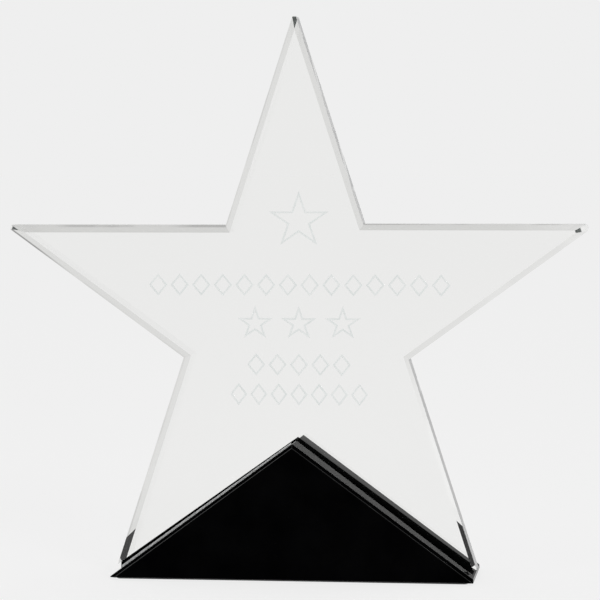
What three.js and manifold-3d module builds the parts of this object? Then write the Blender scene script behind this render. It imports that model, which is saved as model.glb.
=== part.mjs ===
// Free-standing star award: a clear bevelled star plate bonded astride a black triangular block.
// Millimetres, +Z up, the award faces -Y and rests on Z = 0.
import * as THREE from 'three';
import { mergeVertices } from 'three/addons/utils/BufferGeometryUtils.js';
import Module from 'manifold-3d';

const manifoldLibrary = await Module();
manifoldLibrary.setup();

// ---------- driving dimensions ----------
const STAR_TIP_RADIUS = 109.5;      // star centre to where an arm's two edges would meet
const STAR_CENTRE_HEIGHT = 89.5;    // star centre above the table
const PLATE_THICKNESS = 10;
const FOOT_TIP_CUT = 2.2;           // the two feet are ground back square by this much
const TIP_ARC_STEPS = 10;

// The free tips are ground back round by cut, with a small facet between the end and the bevels.
const TOP_TIP = { cut: 2.7, facetDepth: 2.6, facetLength: 4.8 };
const LEFT_TIP = { cut: 2.4, facetDepth: 2.6, facetLength: 5.1 };
const RIGHT_TIP = { cut: 2.4, facetDepth: 2.2, facetLength: 4.6 };

// The front outer edges have 45 degree bevels, ground by hand; the back ones are square. bevel is the
// width and outset is how far the edge lies outside its ideal line. Left and right are as seen
// from the front with the arm pointing up.
const TOP_ARM = { left: { bevel: 2.4, outset: 0 }, right: { bevel: 1.7, outset: -0.6 } };
const LEFT_ARM = { left: { bevel: 2.5, outset: 0 }, right: { bevel: 2.7, outset: 0 } };
const RIGHT_ARM = { left: { bevel: 2.2, outset: 0.4 }, right: { bevel: 1.9, outset: 0.2 } };
const LEFT_FOOT_OUTER = { bevel: 2.6, outset: 0 };
const RIGHT_FOOT_OUTER = { bevel: 1.3, outset: 0 };

const BLOCK_DEPTH = 38;
const BLOCK_PEAK_HEIGHT = 48;       // where the two slopes meet, above the table
const BLOCK_SLOPE_ANGLE = THREE.MathUtils.degToRad(36.3);
const BLOCK_OFFSET = 0.65;          // the block was bonded this far to the right of the star's middle
const BLOCK_EDGE_BEVEL = 1.15;      // along the front and back edges of both slopes
const LEFT_END_HEIGHT = 0.3;        // small upright land at each low corner, ground by hand
const RIGHT_END_HEIGHT = 1.3;

const PAD_THICKNESS = 0.6;
const PAD_INSET = 2;                // pad outline inside the block's underside

const NOTCH_OFFSET = 0.3;           // the notch's corner is this far to the right of the star's middle
const BOND_GAP_AT_PEAK = 0.4;       // mean adhesive thickness at the peak, square to the slope
const LEFT_BOND_TAPER = THREE.MathUtils.degToRad(0.85);
const RIGHT_BOND_TAPER = THREE.MathUtils.degToRad(0.6);
const BOND_CLEARANCE = 0.03;        // left free on each side of the adhesive in this model
const BOND_HALF_SPLIT = 0.1;        // half the gap between the two films over the block's peak
const BEAD_DEPTH = 0.55;            // adhesive squeezed out in front of the left film
const BEAD_HEIGHT_AT_PEAK = 0.46;
const BEAD_HEIGHT_AT_FOOT = 0.67;

const ENGRAVING_DEPTH = 0.08;       // cut into the back face and read through the plate
const ENGRAVED_STROKE = 0.6;
const ENGRAVING_OFFSET = 0.65;      // the drawing's middle is this far right of the star's
const ENGRAVED_STAR_STRETCH = 1.06; // the engraved stars are a little wider than regular ones
const EMBLEM_STAR_RADIUS = 10.5;
const EMBLEM_STAR_HEIGHT = 35.2;    // heights of the engraving are from the star's centre
const ROW_STAR_RADIUS = 6.3;
const ROW_STAR_SPACING = 15.55;
const ROW_STAR_HEIGHT = -1;
const LOZENGE_HALF_HEIGHT = 3.9;
const LOZENGE_CHAINS = [
  { height: 12.6, width: 108, count: 14 },
  { height: -15.5, width: 38, count: 5 },
  { height: -26, width: 50, count: 7 },
];

const ARM_OVERLAP = 8;              // how far each arm's solid runs past the star's centre
const OVERSHOOT = 1;                // how far a cutting solid runs past what it cuts

// ---------- materials ----------
const clearCrystal = new THREE.MeshStandardMaterial({ color: 0xe9efed, roughness: 0.04, metalness: 0 });
const blackCrystal = new THREE.MeshStandardMaterial({ color: 0x060606, roughness: 0.08, metalness: 0 });
const bondAdhesive = new THREE.MeshStandardMaterial({ color: 0x0b0c0c, roughness: 0.3, metalness: 0 });
const padFelt = new THREE.MeshStandardMaterial({ color: 0x101011, roughness: 0.95, metalness: 0 });

// ---------- helpers ----------
function toSolid(geometry) {
  const positionsOnly = geometry.clone();
  positionsOnly.deleteAttribute('normal');
  positionsOnly.deleteAttribute('uv');
  const welded = mergeVertices(positionsOnly, 1e-5);
  const mesh = new manifoldLibrary.Mesh({
    numProp: 3,
    vertProperties: new Float32Array(welded.attributes.position.array),
    triVerts: new Uint32Array(welded.index.array),
  });
  return new manifoldLibrary.Manifold(mesh);
}

function toGeometry(solid) {
  const mesh = solid.getMesh();
  const geometry = new THREE.BufferGeometry();
  geometry.setAttribute('position', new THREE.BufferAttribute(mesh.vertProperties, 3));
  geometry.setIndex(new THREE.BufferAttribute(mesh.triVerts, 1));
  geometry.computeVertexNormals();
  return geometry;
}

function shapeFrom(points) {
  return new THREE.Shape(points.map(([x, y]) => new THREE.Vector2(x, y)));
}

// Extrudes a shape equally to both sides of its own plane.
function extrudeCentred(shape, depth) {
  const geometry = new THREE.ExtrudeGeometry(shape, { depth, bevelEnabled: false });
  return geometry.translate(0, 0, -depth / 2);
}

// Stands a profile drawn in X (width) and Y (height) upright, with its depth along the award's Y.
function standUpright(mesh, height) {
  mesh.rotation.x = Math.PI / 2;
  mesh.position.z = height;
  return mesh;
}

// ---------- star plate ----------
const armHalfAngle = THREE.MathUtils.degToRad(18);
const armTurn = THREE.MathUtils.degToRad(72);
const notchToTipRatio = Math.cos(armTurn) / Math.cos(armTurn / 2);

// A thick slab whose one long edge, bevelled at the front, is an edge of the arm at this turn.
// side is +1 for the arm's right edge and -1 for its left.
function armEdgeSlab(turn, side, edge) {
  const half = PLATE_THICKNESS / 2;
  const section = shapeFrom([
    [0, -half],
    [STAR_TIP_RADIUS, -half],
    [STAR_TIP_RADIUS, half],
    [edge.bevel, half],
    [0, half - edge.bevel],
  ]);
  const slab = extrudeCentred(section, 3 * STAR_TIP_RADIUS);
  const inward = new THREE.Vector3(-side * Math.cos(armHalfAngle), -Math.sin(armHalfAngle), 0);
  const through = new THREE.Vector3(0, 0, 1);
  const along = new THREE.Vector3().crossVectors(inward, through);
  const placement = new THREE.Matrix4().makeBasis(inward, through, along);
  placement.setPosition(-inward.x * edge.outset, STAR_TIP_RADIUS - inward.y * edge.outset, 0);
  return toSolid(slab.applyMatrix4(placement).rotateZ(turn));
}

// Everything below an arm's ground tip: profile points are distance along the arm and height off
// the plate's middle.
function armTrim(turn, profile) {
  const trim = extrudeCentred(shapeFrom(profile), 2 * STAR_TIP_RADIUS);
  const alongArm = new THREE.Vector3(0, 1, 0);
  const through = new THREE.Vector3(0, 0, 1);
  const across = new THREE.Vector3(1, 0, 0);
  trim.applyMatrix4(new THREE.Matrix4().makeBasis(alongArm, through, across));
  return toSolid(trim.rotateZ(turn));
}

function facetedTip(tip) {
  const half = PLATE_THICKNESS / 2;
  const end = STAR_TIP_RADIUS - tip.cut;
  const facetRun = tip.facetLength * (1 + OVERSHOOT / tip.facetDepth);
  return [
    [-ARM_OVERLAP, -half - OVERSHOOT],
    [end, -half - OVERSHOOT],
    [end, half - tip.facetDepth],
    [end - facetRun, half + OVERSHOOT],
    [-ARM_OVERLAP, half + OVERSHOOT],
  ];
}

// Everything below a round tip, drawn in the plate's plane: its arc runs into both of the arm's edges.
function roundTip(turn, cut, leftEdge, rightEdge) {
  const sine = Math.sin(armHalfAngle);
  const outset = (leftEdge.outset + rightEdge.outset) / 2;
  const radius = (cut * sine + outset) / (1 - sine);
  const centreX = (rightEdge.outset - leftEdge.outset) / (2 * Math.cos(armHalfAngle));
  const centreY = STAR_TIP_RADIUS - cut - radius;
  const shoulder = centreY + radius * sine;
  const points = [
    [-STAR_TIP_RADIUS, shoulder],
    [-STAR_TIP_RADIUS, -ARM_OVERLAP],
    [STAR_TIP_RADIUS, -ARM_OVERLAP],
    [STAR_TIP_RADIUS, shoulder],
  ];
  for (let i = 0; i <= TIP_ARC_STEPS; i += 1) {
    const angle = armHalfAngle + (Math.PI - 2 * armHalfAngle) * i / TIP_ARC_STEPS;
    points.push([centreX + radius * Math.cos(angle), centreY + radius * Math.sin(angle)]);
  }
  const trim = extrudeCentred(shapeFrom(points), PLATE_THICKNESS + 2 * OVERSHOOT);
  return toSolid(trim.rotateZ(turn));
}

function squareTip() {
  const half = PLATE_THICKNESS / 2;
  const end = STAR_TIP_RADIUS - FOOT_TIP_CUT;
  return [
    [-ARM_OVERLAP, -half - OVERSHOOT],
    [end, -half - OVERSHOOT],
    [end, half + OVERSHOOT],
    [-ARM_OVERLAP, half + OVERSHOOT],
  ];
}

// One arm, from just past the star's centre out to its ground tip, turned to its place.
function starArm(turn, tipProfile, leftEdge, rightEdge) {
  return armEdgeSlab(turn, 1, rightEdge)
    .intersect(armEdgeSlab(turn, -1, leftEdge))
    .intersect(armTrim(turn, tipProfile));
}

function freeArm(turn, tip, edges) {
  return starArm(turn, facetedTip(tip), edges.left, edges.right)
    .intersect(roundTip(turn, tip.cut, edges.left, edges.right));
}

// The feet get a full, unbevelled inner side, which the block's notch then cuts square.
const footInner = { bevel: OVERSHOOT, outset: 2 * OVERSHOOT };
const starArms = [
  freeArm(0, TOP_TIP, TOP_ARM),
  freeArm(armTurn, LEFT_TIP, LEFT_ARM),
  freeArm(-armTurn, RIGHT_TIP, RIGHT_ARM),
  starArm(2 * armTurn, squareTip(), footInner, LEFT_FOOT_OUTER),
  starArm(-2 * armTurn, squareTip(), RIGHT_FOOT_OUTER, footInner),
];

// Heights above the table, at x, of the block's slopes and of the star's notch over them.
const blockSlope = Math.tan(BLOCK_SLOPE_ANGLE);
const leftNotchSlope = Math.tan(BLOCK_SLOPE_ANGLE - LEFT_BOND_TAPER);
const rightNotchSlope = Math.tan(BLOCK_SLOPE_ANGLE - RIGHT_BOND_TAPER);
const notchPeakHeight = BLOCK_PEAK_HEIGHT + BOND_GAP_AT_PEAK / Math.cos(BLOCK_SLOPE_ANGLE);
const blockHeightAt = (x) => BLOCK_PEAK_HEIGHT - Math.abs(x - BLOCK_OFFSET) * blockSlope;
const notchSlopeAt = (x) => (x < NOTCH_OFFSET ? leftNotchSlope : rightNotchSlope);
const notchHeightAt = (x) => notchPeakHeight - Math.abs(x - NOTCH_OFFSET) * notchSlopeAt(x);

function notchCutter() {
  const reach = 1.3 * BLOCK_PEAK_HEIGHT / blockSlope;
  const fromCentre = (x) => notchHeightAt(x) - STAR_CENTRE_HEIGHT;
  const outline = shapeFrom([
    [-reach, fromCentre(-reach)],
    [reach, fromCentre(reach)],
    [NOTCH_OFFSET, fromCentre(NOTCH_OFFSET)],
  ]);
  return toSolid(extrudeCentred(outline, PLATE_THICKNESS + 2 * OVERSHOOT));
}

function starPoints(radius) {
  const points = [];
  for (let i = 0; i < 5; i += 1) {
    const tipAngle = Math.PI / 2 + i * armTurn;
    const notchAngle = tipAngle + armTurn / 2;
    const notchRadius = radius * notchToTipRatio;
    points.push([radius * Math.cos(tipAngle), radius * Math.sin(tipAngle)]);
    points.push([notchRadius * Math.cos(notchAngle), notchRadius * Math.sin(notchAngle)]);
  }
  return points;
}

// An engraved line of one width that follows a closed outline, drawn as outer and inner outlines.
function engravedOutline(outerPoints, innerPoints) {
  const line = shapeFrom(outerPoints);
  line.holes.push(shapeFrom(innerPoints));
  return line;
}

function engravedStar(radius) {
  const innerRadius = radius - ENGRAVED_STROKE / Math.sin(armHalfAngle);
  const stretched = (r) => starPoints(r).map(([x, y]) => [ENGRAVED_STAR_STRETCH * x, y]);
  return engravedOutline(stretched(radius), stretched(innerRadius));
}

function lozengePoints(halfWidth, halfHeight) {
  return [[halfWidth, 0], [0, halfHeight], [-halfWidth, 0], [0, -halfHeight]];
}

function engravedLozenge(halfWidth, halfHeight) {
  const shrink = 1 - ENGRAVED_STROKE * Math.hypot(halfWidth, halfHeight) / (halfWidth * halfHeight);
  const inner = lozengePoints(halfWidth * shrink, halfHeight * shrink);
  return engravedOutline(lozengePoints(halfWidth, halfHeight), inner);
}

// A shallow cutter for the back face, at x and y from the middle of the drawing.
function faceCutter(shape, x, y) {
  const geometry = extrudeCentred(shape, 2 * ENGRAVING_DEPTH);
  return toSolid(geometry.translate(ENGRAVING_OFFSET + x, y, -PLATE_THICKNESS / 2));
}

function engravingCutters() {
  const cutters = [faceCutter(engravedStar(EMBLEM_STAR_RADIUS), 0, EMBLEM_STAR_HEIGHT)];
  for (const place of [-1, 0, 1]) {
    cutters.push(faceCutter(engravedStar(ROW_STAR_RADIUS), place * ROW_STAR_SPACING, ROW_STAR_HEIGHT));
  }
  for (const chain of LOZENGE_CHAINS) {
    const pitch = chain.width / chain.count;
    for (let i = 0; i < chain.count; i += 1) {
      const x = (i - (chain.count - 1) / 2) * pitch;
      cutters.push(faceCutter(engravedLozenge(0.42 * pitch, LOZENGE_HALF_HEIGHT), x, chain.height));
    }
  }
  return cutters;
}

function makeStarPlate() {
  let plate = starArms[0];
  for (const arm of starArms.slice(1)) {
    plate = plate.add(arm);
  }
  plate = plate.subtract(notchCutter());
  for (const cutter of engravingCutters()) {
    plate = plate.subtract(cutter);
  }
  const mesh = new THREE.Mesh(toGeometry(plate), clearCrystal);
  mesh.name = 'star_plate';
  return standUpright(mesh, STAR_CENTRE_HEIGHT);
}

// ---------- base block ----------
const blockBottom = PAD_THICKNESS;
const leftEndTop = blockBottom + LEFT_END_HEIGHT;
const rightEndTop = blockBottom + RIGHT_END_HEIGHT;
const blockLeftWidth = (BLOCK_PEAK_HEIGHT - leftEndTop) / blockSlope;
const blockRightWidth = (BLOCK_PEAK_HEIGHT - rightEndTop) / blockSlope;

function blockOutline() {
  return shapeFrom([
    [-blockLeftWidth, blockBottom],
    [blockRightWidth, blockBottom],
    [blockRightWidth, rightEndTop],
    [0, BLOCK_PEAK_HEIGHT],
    [-blockLeftWidth, leftEndTop],
  ]);
}

// A long square bar turned 45 degrees, which planes the bevel off one front or back slope edge.
function slopeBevelCutter(side, face) {
  const barLength = 1.6 * blockLeftWidth / Math.cos(BLOCK_SLOPE_ANGLE);
  const barSize = 4 * BLOCK_EDGE_BEVEL;
  const bar = new THREE.BoxGeometry(barLength, barSize, barSize);
  bar.rotateX(Math.PI / 4);
  const edgeToAxis = barSize / Math.SQRT2 - BLOCK_EDGE_BEVEL;
  bar.translate(0, 0, face * (BLOCK_DEPTH / 2 + edgeToAxis));
  bar.rotateZ(-side * BLOCK_SLOPE_ANGLE);
  bar.translate(side * blockLeftWidth / 2, (BLOCK_PEAK_HEIGHT + leftEndTop) / 2, 0);
  return toSolid(bar);
}

function makeBaseBlock() {
  let block = toSolid(extrudeCentred(blockOutline(), BLOCK_DEPTH));
  for (const side of [-1, 1]) {
    for (const face of [-1, 1]) {
      block = block.subtract(slopeBevelCutter(side, face));
    }
  }
  const mesh = new THREE.Mesh(toGeometry(block), blackCrystal);
  mesh.name = 'base_block';
  mesh.position.x = BLOCK_OFFSET;
  return standUpright(mesh, 0);
}

// ---------- adhesive between the star's feet and the block's slopes ----------
const bondReach = (STAR_TIP_RADIUS - FOOT_TIP_CUT) * Math.sin(armTurn / 2) - OVERSHOOT;
const bondLift = BOND_CLEARANCE / Math.cos(BLOCK_SLOPE_ANGLE);
const bondBottomAt = (x) => blockHeightAt(x) + bondLift;
const bondTopAt = (x) => notchHeightAt(x) - bondLift;

function adhesiveFilm(side) {
  const start = BLOCK_OFFSET + side * BOND_HALF_SPLIT;
  const end = side * bondReach;
  const outline = [
    [start, bondBottomAt(start)],
    [end, bondBottomAt(end)],
    [end, bondTopAt(end)],
  ];
  if (side < 0) {
    outline.push([NOTCH_OFFSET, bondTopAt(NOTCH_OFFSET)]);
  }
  outline.push([start, bondTopAt(start)]);
  return toSolid(extrudeCentred(shapeFrom(outline), PLATE_THICKNESS));
}

// A bead lying on the left slope, against the front of the film.
function squeezedBead() {
  const start = -OVERSHOOT;
  const end = -bondReach;
  const topAt = (x, height) => bondBottomAt(x) + height / Math.cos(BLOCK_SLOPE_ANGLE);
  const outline = shapeFrom([
    [start, bondBottomAt(start)],
    [end, bondBottomAt(end)],
    [end, topAt(end, BEAD_HEIGHT_AT_FOOT)],
    [start, topAt(start, BEAD_HEIGHT_AT_PEAK)],
  ]);
  const bead = extrudeCentred(outline, 2 * BEAD_DEPTH);
  return toSolid(bead.translate(0, 0, PLATE_THICKNESS / 2));
}

function adhesiveMesh(solid, name) {
  const mesh = new THREE.Mesh(toGeometry(solid), bondAdhesive);
  mesh.name = name;
  return standUpright(mesh, 0);
}

// ---------- pad under the block ----------
function makeBasePad() {
  const width = blockLeftWidth + blockRightWidth - 2 * PAD_INSET;
  const depth = BLOCK_DEPTH - 2 * PAD_INSET;
  const sheet = new THREE.BoxGeometry(width, depth, PAD_THICKNESS);
  const mesh = new THREE.Mesh(sheet, padFelt);
  mesh.name = 'base_pad';
  mesh.position.set(BLOCK_OFFSET + (blockRightWidth - blockLeftWidth) / 2, 0, PAD_THICKNESS / 2);
  return mesh;
}

const award = new THREE.Group();
award.add(makeStarPlate());
award.add(makeBaseBlock());
award.add(adhesiveMesh(adhesiveFilm(-1).add(squeezedBead()), 'adhesive_film_left'));
award.add(adhesiveMesh(adhesiveFilm(1), 'adhesive_film_right'));
award.add(makeBasePad());

export default award;
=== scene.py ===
import math
import random

import bmesh
import bpy
from mathutils import Matrix, Vector


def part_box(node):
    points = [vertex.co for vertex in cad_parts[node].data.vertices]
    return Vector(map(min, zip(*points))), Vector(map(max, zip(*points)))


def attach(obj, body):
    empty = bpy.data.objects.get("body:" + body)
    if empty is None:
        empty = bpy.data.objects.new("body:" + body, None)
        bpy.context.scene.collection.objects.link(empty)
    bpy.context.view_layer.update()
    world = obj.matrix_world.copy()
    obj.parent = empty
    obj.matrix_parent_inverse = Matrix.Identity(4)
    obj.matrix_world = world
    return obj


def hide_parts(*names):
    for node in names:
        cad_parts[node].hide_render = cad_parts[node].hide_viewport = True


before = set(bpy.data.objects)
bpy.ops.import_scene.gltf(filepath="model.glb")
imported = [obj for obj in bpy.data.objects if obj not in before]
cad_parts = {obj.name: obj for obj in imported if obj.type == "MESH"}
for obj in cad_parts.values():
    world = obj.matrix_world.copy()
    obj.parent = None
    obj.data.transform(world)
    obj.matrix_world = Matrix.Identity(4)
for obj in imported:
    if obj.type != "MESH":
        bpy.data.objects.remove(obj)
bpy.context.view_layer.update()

MM = 0.001

# ---------- the view ----------
AIM = Vector((1.26, 0.0, 96.9)) * MM        # the point in the middle of the frame
CAMERA_DISTANCE = 959.6 * MM
CAMERA_YAW = math.radians(7.07)             # the camera stands this far round towards +X
CAMERA_PITCH = math.radians(2.80)           # and looks down by this much
CAMERA_ROLL = math.radians(-0.09)
CAMERA_LENS = 163.95                        # millimetres, on a 36 mm sensor

# ---------- the studio ----------
PALE = 0.863                                # radiance of the floor and of the bright backdrop
FLOOR_RADIUS = 40.0
FLOOR_ALBEDO = 0.22                         # low, so that the contact shadow stays faint
FLOOR_LIT = 0.49                            # light on the floor, as a share of PALE
CEILING_LEVEL = 0.22                        # radiance overhead and high in front
FRONT_LEVEL = 0.3 * PALE                    # radiance of the grey card far in front
CARD_DISTANCE = 2.5                         # from the award to that card, in metres
TABLE_CARD_NEAR = 0.0193                    # the card on the table starts just clear of the block
TABLE_CARD_HALF_WIDTH = 2.0
FRONT_CARD_HALF_WIDTH = 3.0
FRONT_CARD_HEIGHT = 3.5
LAMP_AIM = Vector((0, 0, 0.09))

# ---------- glass ----------
CRYSTAL_IOR = 1.52
CLEAR = (0.985, 0.985, 0.976)
EDGE_PAINTED_SHADE = (0.68, 0.68, 0.665)                # painted shade on the cut edges, squared
EDGE_TOP_PAINTED_SHADE = (0.58, 0.58, 0.565)            # the same painted shade for the level edges on top of the side arms
RIM_PAINTED_SHADE = (0.12, 0.12, 0.117)                   # painted shade at the darkest streaks along a rim
STAR_CENTRE = 89.5 * MM                     # height above the table
ARM_RISE = math.radians(18)                 # how far the side arms point above the level
TIP_END = 107.0 * MM                        # from the star's centre to the free tips' round ends
ARRIS = 0.10 * MM                           # narrow rounding on every cut edge
GROOVE_DEPTH = 0.08 * MM                    # of the engraving, which is in the back face
BLOCK_ARRIS = 0.12 * MM                     # worn rounding on the block's edges

# the star's material slots, in the order that its mesh holds them
# the fourth slot holds the tips' facets, whose material paints shade into their colour
FACE, EDGE, FROSTED, SHADED_FACET, SIDE, EDGE_TOP = range(6)

# ---------- the bond between the star and the block ----------
BLOCK_OFFSET = 0.65 * MM
BLOCK_PEAK = 48.0 * MM
BLOCK_SLOPE = math.radians(36.3)
NOTCH_OFFSET = 0.3 * MM
NOTCH_LEFT_SLOPE = math.radians(35.45)
NOTCH_RIGHT_SLOPE = math.radians(35.7)
NOTCH_PEAK = BLOCK_PEAK + 0.4 * MM / math.cos(BLOCK_SLOPE)
BOND_REACH = 62.0 * MM                      # from the middle of the star out to the bond's end
BOND_HALF_DEPTH = 4.98 * MM
BOND_OVERLAP = 0.03 * MM                    # how far the cured bond is let into both crystals
BOND_STEPS = 60
BOND_SEED = 5
PLATE_FRONT = -5.0 * MM

# the bead of adhesive in front of the left bond, whose pale colour is a painted highlight; in millimetres
# where it isn't scaled
BEAD_HEIGHT = 0.46                          # at the peak
BEAD_GROWTH = 0.21                          # added to the height by the foot
BEAD_DEPTH = 0.50
BEAD_STEPS = 80
BEAD_ARC_STEPS = 6
BEAD_BACK = -BOND_HALF_DEPTH + 0.06 * MM    # the bead starts inside the bond's front
BEAD_SINK = 0.01 * MM                       # and lies this deep in the slope

# ---------- the felt ----------
FELT_CORNER = 1.2 * MM                      # corner radius
FELT_STEP = 0.8 * MM                        # between the points of its ragged edge
FELT_CORNER_STEPS = 4
FELT_RAGGED = 0.12                          # millimetres that the edge wanders inward
FELT_SEED = 11


def pin(node, **values):
    for name, value in values.items():
        node.inputs[name.replace("_", " ")].default_value = value
    return node


class Nodes:
    """A small helper that adds and links shader nodes."""

    def __init__(self, tree):
        self.tree = tree
        self.tree.nodes.clear()

    def add(self, kind, **settings):
        node = self.tree.nodes.new(kind)
        for name, value in settings.items():
            setattr(node, name, value)
        return node

    def link(self, output, socket):
        self.tree.links.new(output, socket)

    def object_position(self):
        return self.add("ShaderNodeTexCoord").outputs["Object"]

    def noise(self, position, scale, detail=2.0, roughness=0.5, stretch=None):
        if stretch:
            mapping = self.add("ShaderNodeMapping")
            mapping.inputs["Scale"].default_value = stretch
            self.link(position, mapping.inputs["Vector"])
            position = mapping.outputs["Vector"]
        texture = self.add("ShaderNodeTexNoise")
        pin(texture, Scale=scale, Detail=detail, Roughness=roughness)
        self.link(position, texture.inputs["Vector"])
        return texture.outputs["Fac"]

    def ramp(self, value, low, high, to_low, to_high):
        node = self.add("ShaderNodeMapRange", clamp=True)
        pin(node, From_Min=low, From_Max=high, To_Min=to_low, To_Max=to_high)
        self.link(value, node.inputs["Value"])
        return node.outputs["Result"]

    def math(self, operation, *values):
        node = self.add("ShaderNodeMath", operation=operation)
        for value, socket in zip(values, node.inputs):
            if isinstance(value, float):
                socket.default_value = value
            else:
                self.link(value, socket)
        return node.outputs["Value"]

    def plus(self, a, b):
        return self.math("ADD", a, b)

    def dot(self, vector, direction):
        node = self.add("ShaderNodeVectorMath", operation="DOT_PRODUCT")
        self.link(vector, node.inputs[0])
        node.inputs[1].default_value = direction
        return node.outputs["Value"]

    def bump(self, height, distance):
        node = self.add("ShaderNodeBump")
        pin(node, Strength=1.0, Distance=distance)
        self.link(height, node.inputs["Height"])
        return node.outputs["Normal"]

    def colour(self, value, low, high, dark, light):
        node = self.add("ShaderNodeValToRGB")
        node.color_ramp.elements[0].position = low
        node.color_ramp.elements[0].color = (*dark, 1)
        node.color_ramp.elements[1].position = high
        node.color_ramp.elements[1].color = (*light, 1)
        self.link(value, node.inputs["Fac"])
        return node.outputs["Color"]

    def blend(self, factor, colour, other):
        """colour where factor is 0 and the constant other where it is 1."""
        node = self.add("ShaderNodeMix", data_type="RGBA")
        self.link(factor, node.inputs["Factor"])
        self.link(colour, node.inputs[6])
        node.inputs[7].default_value = (*other, 1)
        return node.outputs[2]

    def finish(self, shader):
        output = self.add("ShaderNodeOutputMaterial")
        self.link(shader, output.inputs["Surface"])


def new_material(name):
    material = bpy.data.materials.new(name)
    material.use_nodes = True
    return material, Nodes(material.node_tree)


# ---------- materials ----------
def crystal_shader(nodes, place, waviness, polish):
    """Clear crystal; waviness is the bump height of its hand-polished surface, polish its roughness."""
    shader = nodes.add("ShaderNodeBsdfPrincipled")
    pin(shader, IOR=CRYSTAL_IOR, Transmission_Weight=1.0)
    shader.inputs["Base Color"].default_value = (*CLEAR, 1)
    smudges = nodes.noise(place, 55.0, 3.0, 0.6)
    nodes.link(nodes.ramp(smudges, 0.45, 0.75, polish[0], polish[1]), shader.inputs["Roughness"])
    waves = nodes.noise(place, 110.0, 1.0)
    nodes.link(nodes.bump(waves, waviness), shader.inputs["Normal"])
    nodes.finish(shader.outputs["BSDF"])
    return shader


def crystal_face():
    material, nodes = new_material("crystal_face")
    crystal_shader(nodes, nodes.object_position(), 0.0004 * MM, (0.0, 0.012))
    return material


def crystal_bevel(name, edge_shade, line_from, rim_shade):
    """A bevel whose base colour is painted shade: a little grey high on the star, clear low on its right,
    darker in streaks at its rim.

    line_from is the depth along Y where its rim begins, negative in front of the plate's middle, and
    the last argument, called with nodes and place, says where the rim's painted streaks of shade are.
    """
    material, nodes = new_material(name)
    place = nodes.object_position()
    shader = crystal_shader(nodes, place, 0.004 * MM, (0.01, 0.04))
    # painted shade: grey high on the star, clear low on its right, darker in streaks at the rim
    lean = nodes.dot(place, (0.7, 0.0, -0.7))
    streaks = nodes.ramp(nodes.noise(place, 60.0, 2.0), 0.3, 0.7, -0.006, 0.006)
    clear = nodes.ramp(nodes.plus(lean, streaks), -0.035, 0.0, 0.0, 1.0)
    rim = nodes.ramp(nodes.dot(place, (0, 1, 0)), line_from, line_from + 0.25 * MM, 0.0, 1.0)
    base = nodes.colour(clear, 0.0, 1.0, edge_shade, CLEAR)
    painted_shade_colour = nodes.blend(nodes.math("MULTIPLY", rim, rim_shade(nodes, place)), base, RIM_PAINTED_SHADE)
    nodes.link(painted_shade_colour, shader.inputs["Base Color"])
    return material


def level_edge_shade(nodes, place):
    """Painted shade: dark by the inner corners, in patches farther out."""
    out = nodes.math("ABSOLUTE", nodes.dot(place, (1, 0, 0)))
    corner = nodes.ramp(out, 36 * MM, 46 * MM, 0.62, 0.0)
    patches = nodes.ramp(nodes.noise(place, 48.0, 2.0), 0.46, 0.6, 0.05, 0.5)
    return nodes.math("MAXIMUM", corner, patches)


def sloping_edge_shade(nodes, place):
    """Painted shade: dark by the left tip, faint elsewhere."""
    tip = nodes.ramp(nodes.dot(place, (1, 0, 0)), -92 * MM, -78 * MM, 1.0, 0.0)
    patches = nodes.ramp(nodes.noise(place, 48.0, 2.0), 0.42, 0.62, 0.0, 0.3)
    return nodes.math("MAXIMUM", tip, patches)


def side_crystal():
    """The plate's narrow sides, whose grey base colour, darker in streaks, is painted shade."""
    material, nodes = new_material("crystal_side")
    place = nodes.object_position()
    shader = nodes.add("ShaderNodeBsdfPrincipled")
    pin(shader, IOR=CRYSTAL_IOR, Transmission_Weight=1.0)
    streaks = nodes.noise(place, 70.0, 3.0, 0.6)
    # painted shade: grey streaks in the sides' base colour
    nodes.link(nodes.colour(streaks, 0.35, 0.65, (0.30, 0.30, 0.29), (0.56, 0.56, 0.55)),
               shader.inputs["Base Color"])
    nodes.link(nodes.ramp(streaks, 0.3, 0.7, 0.02, 0.06), shader.inputs["Roughness"])
    nodes.link(nodes.bump(nodes.noise(place, 90.0, 1.0), 0.02 * MM), shader.inputs["Normal"])
    nodes.finish(shader.outputs["BSDF"])
    return material


def facet_unshaded_end(nodes, place):
    """One over the outermost part of the tips' facets, where their painted shade gives way to clear
    crystal; that part is longest on the right tip.
    """
    across = nodes.dot(place, (1, 0, 0))
    up = nodes.plus(nodes.dot(place, (0, 0, 1)), -STAR_CENTRE)
    outward = nodes.plus(nodes.math("MULTIPLY", nodes.math("ABSOLUTE", across), math.cos(ARM_RISE)),
                         nodes.math("MULTIPLY", up, math.sin(ARM_RISE)))
    from_end = nodes.plus(nodes.math("MAXIMUM", outward, up), -TIP_END)
    reach = nodes.plus(nodes.ramp(across, -50 * MM, 0.0, 0.7 * MM, 0.5 * MM),
                       nodes.ramp(across, 0.0, 50 * MM, 0.0, 1.9 * MM))
    return nodes.ramp(nodes.plus(from_end, reach), -0.15 * MM, 0.15 * MM, 0.0, 1.0)


def facet_shade_crystal():
    """Crystal left unpolished on the little facets at the tips; their near-black base colour is painted
    shade, clear over the facets' outer ends.
    """
    material, nodes = new_material("crystal_facet_painted_shade")
    place = nodes.object_position()
    shader = nodes.add("ShaderNodeBsdfPrincipled")
    pin(shader, IOR=CRYSTAL_IOR, Transmission_Weight=1.0)
    grit = nodes.noise(place, 1400.0, 3.0, 0.6)
    # painted shade: near-black on the facets, clear at their outer ends
    painted_facet_dark = nodes.colour(grit, 0.3, 0.7, (0.004, 0.005, 0.0045), (0.03, 0.035, 0.033))
    nodes.link(nodes.blend(facet_unshaded_end(nodes, place), painted_facet_dark, CLEAR), shader.inputs["Base Color"])
    nodes.link(nodes.ramp(grit, 0.3, 0.7, 0.08, 0.2), shader.inputs["Roughness"])
    nodes.link(nodes.bump(grit, 0.01 * MM), shader.inputs["Normal"])
    nodes.finish(shader.outputs["BSDF"])
    return material


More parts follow.
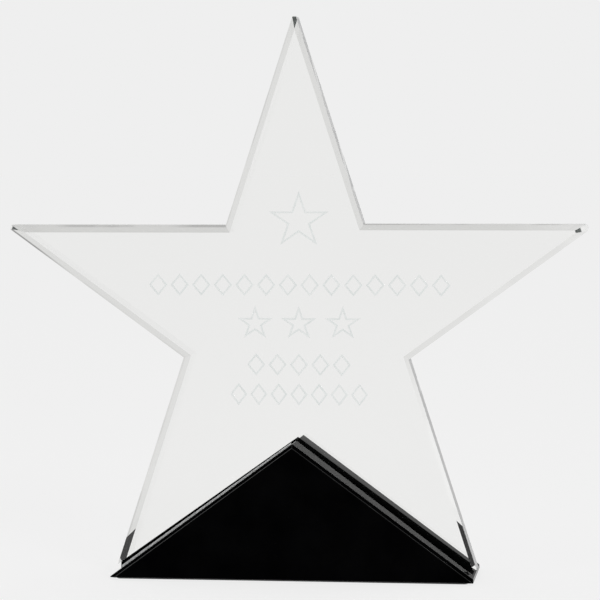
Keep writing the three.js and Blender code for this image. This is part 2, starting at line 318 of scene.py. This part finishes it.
def frosted_crystal():
    material, nodes = new_material("crystal_frosted")
    place = nodes.object_position()
    shader = nodes.add("ShaderNodeBsdfPrincipled")
    pin(shader, IOR=CRYSTAL_IOR, Transmission_Weight=1.0)
    grain = nodes.noise(place, 9000.0, 3.0, 0.65)
    patches = nodes.noise(place, 300.0, 2.0)
    nodes.link(nodes.colour(patches, 0.3, 0.7, (0.72, 0.78, 0.77), (0.84, 0.88, 0.87)),
               shader.inputs["Base Color"])
    nodes.link(nodes.ramp(grain, 0.3, 0.7, 0.24, 0.36), shader.inputs["Roughness"])
    nodes.link(nodes.bump(grain, 0.003 * MM), shader.inputs["Normal"])
    nodes.finish(shader.outputs["BSDF"])
    return material


def black_crystal(name, base, polish, specular):
    material, nodes = new_material(name)
    place = nodes.object_position()
    shader = nodes.add("ShaderNodeBsdfPrincipled")
    pin(shader, IOR=CRYSTAL_IOR, Specular_IOR_Level=specular)
    smudges = nodes.noise(place, 60.0, 4.0, 0.62)
    hairlines = nodes.noise(place, 260.0, 2.0, 0.5, stretch=(0.25, 1.0, 3.0))
    nodes.link(nodes.colour(smudges, 0.35, 0.75, base[0], base[1]), shader.inputs["Base Color"])
    nodes.link(nodes.ramp(nodes.plus(smudges, hairlines), 0.85, 1.35, polish[0], polish[1]),
               shader.inputs["Roughness"])
    nodes.link(nodes.bump(nodes.noise(place, 90.0, 2.0), 0.004 * MM), shader.inputs["Normal"])
    nodes.finish(shader.outputs["BSDF"])
    return material


def cured_adhesive():
    material, nodes = new_material("bond_adhesive")
    place = nodes.object_position()
    shader = nodes.add("ShaderNodeBsdfPrincipled")
    pin(shader, Specular_IOR_Level=0.0)
    flow = nodes.noise(place, 420.0, 3.0, 0.6)
    nodes.link(nodes.colour(flow, 0.3, 0.75, (0.0010, 0.0011, 0.0011), (0.0045, 0.0050, 0.0050)),
               shader.inputs["Base Color"])
    nodes.link(nodes.ramp(flow, 0.3, 0.7, 0.3, 0.55), shader.inputs["Roughness"])
    nodes.link(nodes.bump(flow, 0.01 * MM), shader.inputs["Normal"])
    nodes.finish(shader.outputs["BSDF"])
    return material


def bead_painted_highlight():
    """The bead squeezed out along the left slope; its pale colour is a painted highlight, the bright line
    along that slope.
    """
    material, nodes = new_material("bond_bead_painted_highlight")
    place = nodes.object_position()
    shader = nodes.add("ShaderNodeBsdfPrincipled")
    flow = nodes.noise(place, 300.0, 3.0, 0.6)
    # painted highlight: near-white base colour for the bright line along the left slope
    nodes.link(nodes.colour(flow, 0.3, 0.7, (0.72, 0.73, 0.73), (0.93, 0.94, 0.94)),
               shader.inputs["Base Color"])
    nodes.link(nodes.ramp(flow, 0.3, 0.7, 0.25, 0.5), shader.inputs["Roughness"])
    nodes.link(nodes.bump(flow, 0.02 * MM), shader.inputs["Normal"])
    nodes.finish(shader.outputs["BSDF"])
    return material


def felt():
    material, nodes = new_material("pad_felt")
    place = nodes.object_position()
    shader = nodes.add("ShaderNodeBsdfPrincipled")
    pin(shader, Sheen_Weight=0.35, Sheen_Roughness=0.6, Specular_IOR_Level=0.15)
    fibres = nodes.noise(place, 2600.0, 5.0, 0.7, stretch=(1.0, 1.7, 1.3))
    clumps = nodes.noise(place, 420.0, 3.0, 0.6)
    both = nodes.plus(fibres, clumps)
    nodes.link(nodes.colour(both, 0.3, 0.9, (0.004, 0.004, 0.0045), (0.022, 0.022, 0.023)),
               shader.inputs["Base Color"])
    nodes.link(nodes.ramp(fibres, 0.3, 0.7, 0.82, 1.0), shader.inputs["Roughness"])
    nodes.link(nodes.bump(both, 0.12 * MM), shader.inputs["Normal"])
    nodes.finish(shader.outputs["BSDF"])
    return material


CRYSTAL_FACE = crystal_face()
# both edge materials paint shade into their base colour
CRYSTAL_EDGE = crystal_bevel("crystal_edge", EDGE_PAINTED_SHADE, -3.25 * MM, sloping_edge_shade)
CRYSTAL_EDGE_TOP = crystal_bevel("crystal_edge_top", EDGE_TOP_PAINTED_SHADE, -3.3 * MM, level_edge_shade)
CRYSTAL_SIDE = side_crystal()
CRYSTAL_FROSTED = frosted_crystal()
CRYSTAL_FACET_SHADE = facet_shade_crystal()
BLACK_FACE = black_crystal(
    "black_crystal",
    base=((0.0008, 0.0008, 0.0009), (0.0022, 0.0022, 0.0024)),
    polish=(0.02, 0.09),
    specular=0.0035,
)
BLACK_ARRIS = black_crystal(
    "black_crystal_worn",
    base=((0.004, 0.004, 0.0045), (0.012, 0.012, 0.013)),
    polish=(0.12, 0.3),
    specular=0.7,
)
ADHESIVE = cured_adhesive()
BEAD_PAINTED_HIGHLIGHT = bead_painted_highlight()
FELT = felt()


# ---------- pieces ----------
def cad_mesh(node):
    """A welded copy of a CAD node's mesh, with its flat faces whole again."""
    bm = bmesh.new()
    bm.from_mesh(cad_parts[node].data)
    bmesh.ops.remove_doubles(bm, verts=bm.verts, dist=0.001 * MM)
    bmesh.ops.dissolve_limit(bm, angle_limit=math.radians(0.5), verts=bm.verts, edges=bm.edges)
    bm.normal_update()
    for face in bm.faces:
        face.material_index = FACE
    return bm


def sharp(edge, angle=15.0):
    return len(edge.link_faces) == 2 and edge.calc_face_angle(0.0) > math.radians(angle)


def round_edges(bm, edges, width, segments, material=-1):
    bmesh.ops.bevel(bm, geom=edges, offset=width, offset_type="OFFSET", segments=segments,
                    profile=0.5, affect="EDGES", clamp_overlap=True, material=material)
    bm.normal_update()


def make_piece(name, bm, materials, nodes):
    mesh = bpy.data.meshes.new(name)
    bm.to_mesh(mesh)
    bm.free()
    for material in materials:
        mesh.materials.append(material)
    piece = bpy.data.objects.new(name, mesh)
    bpy.context.scene.collection.objects.link(piece)
    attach(piece, "root")
    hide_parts(*nodes)


def notch_height(x):
    slope = NOTCH_LEFT_SLOPE if x < NOTCH_OFFSET else NOTCH_RIGHT_SLOPE
    return NOTCH_PEAK - abs(x - NOTCH_OFFSET) * math.tan(slope)


def block_height(x):
    return BLOCK_PEAK - abs(x - BLOCK_OFFSET) * math.tan(BLOCK_SLOPE)


def star_piece():
    bm = cad_mesh("star_plate")
    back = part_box("star_plate")[1].y
    groove_floor = back - GROOVE_DEPTH
    near = 0.01 * MM

    def in_groove(face):
        return any(abs(v.co.y - groove_floor) < near for v in face.verts)

    def bonded(edge):
        return all(v.co.z - notch_height(v.co.x) < near for v in edge.verts)

    for face in bm.faces:
        if in_groove(face):
            face.material_index = FROSTED
        elif -0.95 < face.normal.y < -0.8:
            face.material_index = SHADED_FACET
        elif abs(face.normal.y) < 0.1:
            face.material_index = SIDE
        elif abs(face.normal.y) < 0.99:
            face.material_index = EDGE_TOP if face.normal.z > 0.6 else EDGE

    outer = [e for e in bm.edges
             if sharp(e, 20.0) and not bonded(e) and not any(in_groove(f) for f in e.link_faces)]
    round_edges(bm, outer, ARRIS, 2)
    materials = [CRYSTAL_FACE, CRYSTAL_EDGE, CRYSTAL_FROSTED,
                 CRYSTAL_FACET_SHADE, CRYSTAL_SIDE, CRYSTAL_EDGE_TOP]
    make_piece("star_crystal", bm, materials, ["star_plate"])


def block_piece():
    bm = cad_mesh("base_block")
    round_edges(bm, [e for e in bm.edges if sharp(e)], BLOCK_ARRIS, 2, material=1)
    make_piece("block_crystal", bm, [BLACK_FACE, BLACK_ARRIS], ["base_block"])


def loft(bm, rings, material=0):
    """A closed tube through rings of points, with a face on each end."""
    loops = [[bm.verts.new(p) for p in ring] for ring in rings]
    count = len(loops[0])
    faces = []
    for lower, upper in zip(loops, loops[1:]):
        for k in range(count):
            n = (k + 1) % count
            faces.append(bm.faces.new((lower[k], lower[n], upper[n], upper[k])))
    faces.append(bm.faces.new(list(reversed(loops[0]))))
    faces.append(bm.faces.new(loops[-1]))
    for face in faces:
        face.material_index = material


def bond_rings(xs, rng):
    lift = BOND_OVERLAP / math.cos(BLOCK_SLOPE)
    rings = []
    for x in xs:
        bottom = block_height(x) - lift
        top = notch_height(x) + lift
        front = -BOND_HALF_DEPTH + rng.uniform(0.0, 0.05) * MM
        back = BOND_HALF_DEPTH - rng.uniform(0.0, 0.05) * MM
        rings.append([(x, front, bottom), (x, front, top), (x, back, top), (x, back, bottom)])
    return rings


def bead_rings(xs, rng):
    """Half-round sections lying on the left slope, against the front of the bond."""
    rings = []
    for x in xs:
        along = abs(x) / BOND_REACH
        thickness = BEAD_HEIGHT + BEAD_GROWTH * along + rng.uniform(-0.03, 0.03)
        height = thickness * MM / math.cos(BLOCK_SLOPE)
        depth = (BEAD_DEPTH + rng.uniform(-0.04, 0.04)) * MM
        foot = block_height(x) - BEAD_SINK
        ring = [(x, BEAD_BACK, foot)]
        for k in range(BEAD_ARC_STEPS + 1):
            turn = math.radians(90 * k / BEAD_ARC_STEPS)
            front = PLATE_FRONT - depth * math.cos(turn) ** 0.5
            ring.append((x, front, foot + height * math.sin(turn) ** 0.5))
        ring.append((x, BEAD_BACK, foot + height))
        rings.append(ring)
    return rings


def bond_piece(side, name, node):
    rng = random.Random(BOND_SEED + side)
    bm = bmesh.new()
    end = side * BOND_REACH
    xs = [BLOCK_OFFSET + (end - BLOCK_OFFSET) * k / BOND_STEPS for k in range(BOND_STEPS + 1)]
    if side < 0:
        xs = sorted(xs + [NOTCH_OFFSET], reverse=True)
        bead_xs = [end * (0.02 + 0.975 * k / BEAD_STEPS) for k in range(BEAD_STEPS + 1)]
        loft(bm, bead_rings(bead_xs, rng), 1)
    loft(bm, bond_rings(xs, rng))
    bmesh.ops.recalc_face_normals(bm, faces=bm.faces)
    make_piece(name, bm, [ADHESIVE, BEAD_PAINTED_HIGHLIGHT], [node])


def pad_piece():
    """A die-cut felt sheet whose edge is a little ragged."""
    low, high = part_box("base_pad")
    rng = random.Random(FELT_SEED)
    outline = []
    corners = [(high.x, high.y), (low.x, high.y), (low.x, low.y), (high.x, low.y)]
    for i, (cx, cy) in enumerate(corners):
        nx, ny = corners[(i + 1) % 4]
        px, py = corners[i - 1]
        to_prev = Vector((px - cx, py - cy, 0)).normalized()
        to_next = Vector((nx - cx, ny - cy, 0)).normalized()
        at = Vector((cx, cy, 0))
        centre = at + (to_prev + to_next) * FELT_CORNER
        for k in range(FELT_CORNER_STEPS + 1):
            turn = math.radians(90 * k / FELT_CORNER_STEPS)
            outline.append(centre - to_next * FELT_CORNER * math.cos(turn)
                           - to_prev * FELT_CORNER * math.sin(turn))
        start = at + to_next * FELT_CORNER
        end = Vector((nx, ny, 0)) - to_next * FELT_CORNER
        count = round((end - start).length / FELT_STEP)
        outline.extend(start.lerp(end, k / count) for k in range(1, count))
    middle = (low + high) / 2
    bm = bmesh.new()
    rings = []
    levels = (
        (low.z + 0.02 * MM, 0.12),
        (0.2 * MM, 0.0),
        (0.42 * MM, 0.0),
        (high.z, 0.10),
    )
    for height, inset in levels:
        ring = []
        for p in outline:
            inward = Vector((middle.x - p.x, middle.y - p.y, 0)).normalized()
            drift = inward * (inset + rng.uniform(0.0, FELT_RAGGED)) * MM
            ring.append((p.x + drift.x, p.y + drift.y, height))
        rings.append(ring)
    loft(bm, rings)
    bmesh.ops.recalc_face_normals(bm, faces=bm.faces)
    make_piece("pad_felt_sheet", bm, [FELT], ["base_pad"])


star_piece()
block_piece()
bond_piece(-1, "bond_left", "adhesive_film_left")
bond_piece(1, "bond_right", "adhesive_film_right")
pad_piece()


# ---------- floor, backdrop and light ----------
def stage_mesh(name, bm, material):
    mesh = bpy.data.meshes.new(name)
    bm.to_mesh(mesh)
    bm.free()
    mesh.materials.append(material)
    obj = bpy.data.objects.new(name, mesh)
    bpy.context.scene.collection.objects.link(obj)
    return obj


def make_floor():
    material, nodes = new_material("floor_pale")
    diffuse = nodes.add("ShaderNodeBsdfDiffuse")
    diffuse.inputs["Color"].default_value = (FLOOR_ALBEDO,) * 3 + (1,)
    glow = nodes.add("ShaderNodeEmission")
    glow.inputs["Color"].default_value = (1, 1, 1, 1)
    glow.inputs["Strength"].default_value = PALE * (1 - FLOOR_ALBEDO * FLOOR_LIT)
    both = nodes.add("ShaderNodeAddShader")
    nodes.link(diffuse.outputs[0], both.inputs[0])
    nodes.link(glow.outputs[0], both.inputs[1])
    nodes.finish(both.outputs[0])
    bm = bmesh.new()
    bmesh.ops.create_circle(bm, cap_ends=True, radius=FLOOR_RADIUS, segments=96)
    stage_mesh("floor", bm, material)


def make_world():
    world = bpy.data.worlds.new("studio")
    bpy.context.scene.world = world
    world.use_nodes = True
    nodes = Nodes(world.node_tree)
    direction = nodes.add("ShaderNodeTexCoord").outputs["Generated"]
    parts = nodes.add("ShaderNodeSeparateXYZ")
    nodes.link(direction, parts.inputs["Vector"])
    back = nodes.ramp(parts.outputs["Y"], -0.2, 0.35, 0.0, 0.5)
    height = nodes.math("SUBTRACT", parts.outputs["Z"], back)
    level = nodes.ramp(height, 0.12, 0.42, PALE, CEILING_LEVEL)
    background = nodes.add("ShaderNodeBackground")
    nodes.link(level, background.inputs["Color"])
    output = nodes.add("ShaderNodeOutputWorld")
    nodes.link(background.outputs["Background"], output.inputs["Surface"])


def flag(name, corners, near, far):
    """A grey card that only reflections see, as a photographer shades a shiny face.

    Its level goes from near, at the foot of the award, to far, half a metre in front of it.
    """
    material, nodes = new_material(name)
    distance = nodes.dot(nodes.object_position(), (0, -1, 0))
    glow = nodes.add("ShaderNodeEmission")
    nodes.link(nodes.ramp(distance, 0.03, 0.45, near, far), glow.inputs["Color"])
    nodes.finish(glow.outputs[0])
    bm = bmesh.new()
    bm.faces.new([bm.verts.new(c) for c in corners])
    card = stage_mesh(name, bm, material)
    card.visible_camera = False
    card.visible_diffuse = False
    card.visible_transmission = False
    card.visible_volume_scatter = False
    card.visible_shadow = False


def area_light(name, place, size, watts):
    light = bpy.data.lights.new(name, "AREA")
    light.shape = "RECTANGLE"
    light.size, light.size_y = size
    light.energy = watts
    lamp = bpy.data.objects.new(name, light)
    lamp.location = place
    aim = LAMP_AIM - Vector(place)
    lamp.rotation_euler = aim.to_track_quat("-Z", "Y").to_euler()
    bpy.context.scene.collection.objects.link(lamp)


make_floor()
make_world()
flag("flag_table",
     [(-TABLE_CARD_HALF_WIDTH, -TABLE_CARD_NEAR, 0.0002), (TABLE_CARD_HALF_WIDTH, -TABLE_CARD_NEAR, 0.0002),
      (TABLE_CARD_HALF_WIDTH, -CARD_DISTANCE, 0.0006), (-TABLE_CARD_HALF_WIDTH, -CARD_DISTANCE, 0.0006)],
     0.0, FRONT_LEVEL)
flag("flag_front",
     [(-FRONT_CARD_HALF_WIDTH, -CARD_DISTANCE, 0.0), (FRONT_CARD_HALF_WIDTH, -CARD_DISTANCE, 0.0),
      (FRONT_CARD_HALF_WIDTH, -CARD_DISTANCE, FRONT_CARD_HEIGHT),
      (-FRONT_CARD_HALF_WIDTH, -CARD_DISTANCE, FRONT_CARD_HEIGHT)],
     FRONT_LEVEL, FRONT_LEVEL)
area_light("key_left", place=(-0.9, -0.7, 0.75), size=(0.5, 0.5), watts=0.9)
area_light("key_right", place=(0.8, -1.0, 0.6), size=(0.4, 0.4), watts=3.8)


# ---------- camera ----------
def make_camera():
    data = bpy.data.cameras.new("camera")
    data.sensor_width = 36.0
    data.lens = CAMERA_LENS
    data.clip_start, data.clip_end = 0.01, 100.0
    camera = bpy.data.objects.new("camera", data)
    back = Vector((math.sin(CAMERA_YAW) * math.cos(CAMERA_PITCH),
                   -math.cos(CAMERA_YAW) * math.cos(CAMERA_PITCH),
                   math.sin(CAMERA_PITCH)))
    camera.location = AIM + back * CAMERA_DISTANCE
    turn = (-back).to_track_quat("-Z", "Y").to_matrix().to_4x4()
    camera.rotation_euler = (turn @ Matrix.Rotation(CAMERA_ROLL, 4, "Z")).to_euler()
    bpy.context.scene.collection.objects.link(camera)
    bpy.context.scene.camera = camera


make_camera()

scene = bpy.context.scene
scene.view_settings.view_transform = "Standard"
scene.view_settings.look = "None"
scene.cycles.max_bounces = 24
scene.cycles.transmission_bounces = 24
scene.cycles.glossy_bounces = 12
scene.cycles.transparent_max_bounces = 8
